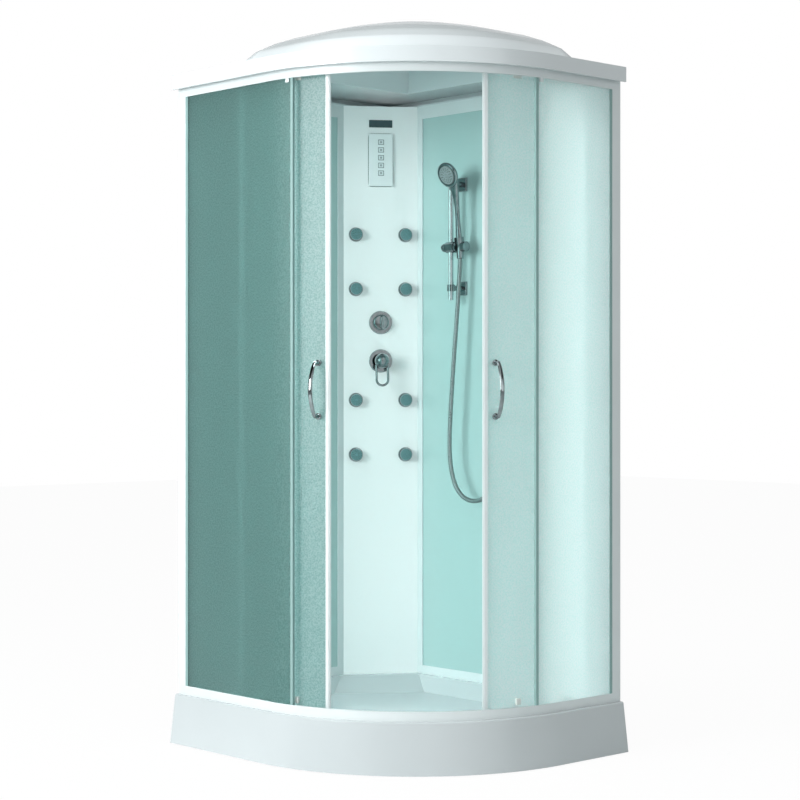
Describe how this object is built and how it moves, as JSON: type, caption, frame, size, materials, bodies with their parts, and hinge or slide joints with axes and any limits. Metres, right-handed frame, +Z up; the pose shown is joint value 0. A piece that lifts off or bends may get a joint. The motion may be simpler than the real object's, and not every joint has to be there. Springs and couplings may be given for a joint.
{
  "type": "shower cabin",
  "caption": "Quadrant shower cabin with a low tray, curved sliding glass doors, domed roof and a corner column with body jets, mixer and hand shower.",
  "frame": {"origin": "on the floor, under the middle of the cabin's box", "axes": "+Z up; +Y towards the back wall and -X towards the side wall, so the curved front faces +X and -Y"},
  "size_m": [1, 0.866, 2.1],
  "materials": {
    "acrylic_white": "gloss",
    "black_plastic": "matt",
    "chrome": "polished",
    "clear_plastic": "gloss",
    "frosted_glass": "frosted",
    "galvanised_steel": "satin",
    "grey_plastic": "matt",
    "key_plastic": "satin",
    "pipe_plastic": "matt",
    "seal_rubber": "matt",
    "silver_plastic": "satin",
    "tinted_wall_glass": "gloss, painted behind",
    "white_aluminium": "satin",
    "white_nylon": "matt"
  },
  "bodies": {
    "cabin": {"back_wall_frame": "white_aluminium", "back_wall_glass": "tinted_wall_glass", "badge_plate": "chrome", "bottom_rail": "white_aluminium", "control_box": "silver_plastic", "control_keys": "key_plastic", "corner_column": "acrylic_white", "diverter_body": "chrome", "fixed_glass_left": "frosted_glass", "fixed_glass_right": "frosted_glass", "frame_screws": "chrome", "glass_clips": "clear_plastic", "glazing_seals": "seal_rubber", "header_rail": "white_aluminium", "hose_outlet": "chrome", "jet_rings": "chrome", "mixer_body": "chrome", "rail_brackets": "chrome", "roof_shell": "acrylic_white", "shower_hose": "chrome", "side_wall_frame": "white_aluminium", "side_wall_glass": "tinted_wall_glass", "slide_rail": "chrome", "tray_feet": "black_plastic", "tray_frame": "galvanised_steel", "tray_shell": "acrylic_white", "wall_post_back": "white_aluminium", "wall_post_side": "white_aluminium", "waste_trap": "black_plastic", "water_manifold": "pipe_plastic"},
    "left_door": {"left_door_glass": "frosted_glass", "left_door_edge": "seal_rubber", "left_door_handle": "chrome", "left_door_runners": "grey_plastic"},
    "right_door": {"right_door_glass": "frosted_glass", "right_door_edge": "seal_rubber", "right_door_handle": "chrome", "right_door_runners": "grey_plastic"},
    "left_front_wheel_body": {"left_front_wheel": "white_nylon"},
    "left_rear_wheel_body": {"left_rear_wheel": "white_nylon"},
    "right_front_wheel_body": {"right_front_wheel": "white_nylon"},
    "right_rear_wheel_body": {"right_rear_wheel": "white_nylon"},
    "jet_nozzle_left_1_body": {"jet_nozzle_left_1": "chrome"},
    "jet_nozzle_left_2_body": {"jet_nozzle_left_2": "chrome"},
    "jet_nozzle_left_3_body": {"jet_nozzle_left_3": "chrome"},
    "jet_nozzle_left_4_body": {"jet_nozzle_left_4": "chrome"},
    "jet_nozzle_right_1_body": {"jet_nozzle_right_1": "chrome"},
    "jet_nozzle_right_2_body": {"jet_nozzle_right_2": "chrome"},
    "jet_nozzle_right_3_body": {"jet_nozzle_right_3": "chrome"},
    "jet_nozzle_right_4_body": {"jet_nozzle_right_4": "chrome"},
    "diverter": {"diverter_knob": "chrome"},
    "mixer_turret": {"mixer_stem": "chrome"},
    "mixer_handle": {"mixer_lever": "chrome"},
    "slider": {"rail_slider": "chrome", "hose_nut": "chrome"},
    "cradle": {"handset_cradle": "chrome", "handset": "chrome"},
    "spray_plate": {"spray_face": "grey_plastic"},
    "waste_lid": {"waste_cover": "chrome"}
  },
  "joints": [
    {"name": "left_door_slide", "type": "hinge", "parent": "cabin", "child": "left_door", "pos_m": [-0.10295, 0.21201, 1], "axis": [0, 0, 1], "range_deg": [-3.89, 21.41]},
    {"name": "right_door_slide", "type": "hinge", "parent": "cabin", "child": "right_door", "pos_m": [-0.14501, 0.16995, 1], "axis": [0, 0, 1], "range_deg": [-19.91, 5.39]},
    {"name": "left_front_wheel_roll", "type": "hinge", "parent": "left_door", "child": "left_front_wheel_body", "pos_m": [0.00801, -0.3777, 1.9021], "axis": [0.2126, -0.9771, 0], "range_deg": [-1430, 262]},
    {"name": "left_rear_wheel_roll", "type": "hinge", "parent": "left_door", "child": "left_rear_wheel_body", "pos_m": [-0.13111, -0.38927, 1.9021], "axis": [-0.0484, -0.9988, 0], "range_deg": [-1434, 263]},
    {"name": "right_front_wheel_roll", "type": "hinge", "parent": "right_door", "child": "right_front_wheel_body", "pos_m": [0.44159, 0.04357, 1.9021], "axis": [0.9712, -0.2382, 0], "range_deg": [-362, 1330]},
    {"name": "right_rear_wheel_roll", "type": "hinge", "parent": "right_door", "child": "right_rear_wheel_body", "pos_m": [0.4568, 0.18234, 1.9021], "axis": [0.9998, 0.0222, 0], "range_deg": [-363, 1334]},
    {"name": "jet_left_1_tilt", "type": "hinge", "parent": "cabin", "child": "jet_nozzle_left_1_body", "pos_m": [-0.4328, 0.22833, 0.827], "axis": [0.5675, 0.8233, 0], "range_deg": [-12, 12]},
    {"name": "jet_left_2_tilt", "type": "hinge", "parent": "cabin", "child": "jet_nozzle_left_2_body", "pos_m": [-0.4328, 0.22833, 0.997], "axis": [0.5675, 0.8233, 0], "range_deg": [-12, 12]},
    {"name": "jet_left_3_tilt", "type": "hinge", "parent": "cabin", "child": "jet_nozzle_left_3_body", "pos_m": [-0.4328, 0.22833, 1.343], "axis": [0.5675, 0.8233, 0], "range_deg": [-12, 12]},
    {"name": "jet_left_4_tilt", "type": "hinge", "parent": "cabin", "child": "jet_nozzle_left_4_body", "pos_m": [-0.4328, 0.22833, 1.513], "axis": [0.5675, 0.8233, 0], "range_deg": [-12, 12]},
    {"name": "jet_right_1_tilt", "type": "hinge", "parent": "cabin", "child": "jet_nozzle_right_1_body", "pos_m": [-0.34426, 0.35677, 0.827], "axis": [0.5675, 0.8233, 0], "range_deg": [-12, 12]},
    {"name": "jet_right_2_tilt", "type": "hinge", "parent": "cabin", "child": "jet_nozzle_right_2_body", "pos_m": [-0.34426, 0.35677, 0.997], "axis": [0.5675, 0.8233, 0], "range_deg": [-12, 12]},
    {"name": "jet_right_3_tilt", "type": "hinge", "parent": "cabin", "child": "jet_nozzle_right_3_body", "pos_m": [-0.34426, 0.35677, 1.343], "axis": [0.5675, 0.8233, 0], "range_deg": [-12, 12]},
    {"name": "jet_right_4_tilt", "type": "hinge", "parent": "cabin", "child": "jet_nozzle_right_4_body", "pos_m": [-0.34426, 0.35677, 1.513], "axis": [0.5675, 0.8233, 0], "range_deg": [-12, 12]},
    {"name": "diverter_turn", "type": "hinge", "parent": "cabin", "child": "diverter", "pos_m": [-0.391, 0.29425, 1.239], "axis": [0.8233, -0.5675, 0], "range_deg": [-90, 90]},
    {"name": "mixer_turn", "type": "hinge", "parent": "cabin", "child": "mixer_turret", "pos_m": [-0.391, 0.29425, 1.119], "axis": [0.8233, -0.5675, 0], "range_deg": [-60, 60]},
    {"name": "mixer_lift", "type": "hinge", "parent": "mixer_turret", "child": "mixer_handle", "pos_m": [-0.36136, 0.27382, 1.119], "axis": [-0.5675, -0.8233, 0], "range_deg": [0, 25]},
    {"name": "slider_height", "type": "slide", "parent": "cabin", "child": "slider", "axis": [0, 0, 1], "range_m": [-0.094, 0.164], "deforming": ["shower_hose"]},
    {"name": "handset_tilt", "type": "hinge", "parent": "slider", "child": "cradle", "pos_m": [-0.085, 0.3415, 1.461], "axis": [1, 0, 0], "range_deg": [-8, 15]},
    {"name": "spray_pattern_turn", "type": "hinge", "parent": "cradle", "child": "spray_plate", "pos_m": [-0.085, 0.28143, 1.67098], "axis": [0, -0.9272, -0.3746], "range_deg": [0, 120]},
    {"name": "waste_cover_lift", "type": "slide", "parent": "cabin", "child": "waste_lid", "axis": [0, 0, 1], "range_m": [0, 0.03]}
  ],
  "couplings": [
    {"joint": "left_front_wheel_roll", "follows": "left_door_slide", "ratio": -66.674},
    {"joint": "left_rear_wheel_roll", "follows": "left_door_slide", "ratio": -66.882},
    {"joint": "right_front_wheel_roll", "follows": "right_door_slide", "ratio": -66.674},
    {"joint": "right_rear_wheel_roll", "follows": "right_door_slide", "ratio": -66.882}
  ]
}
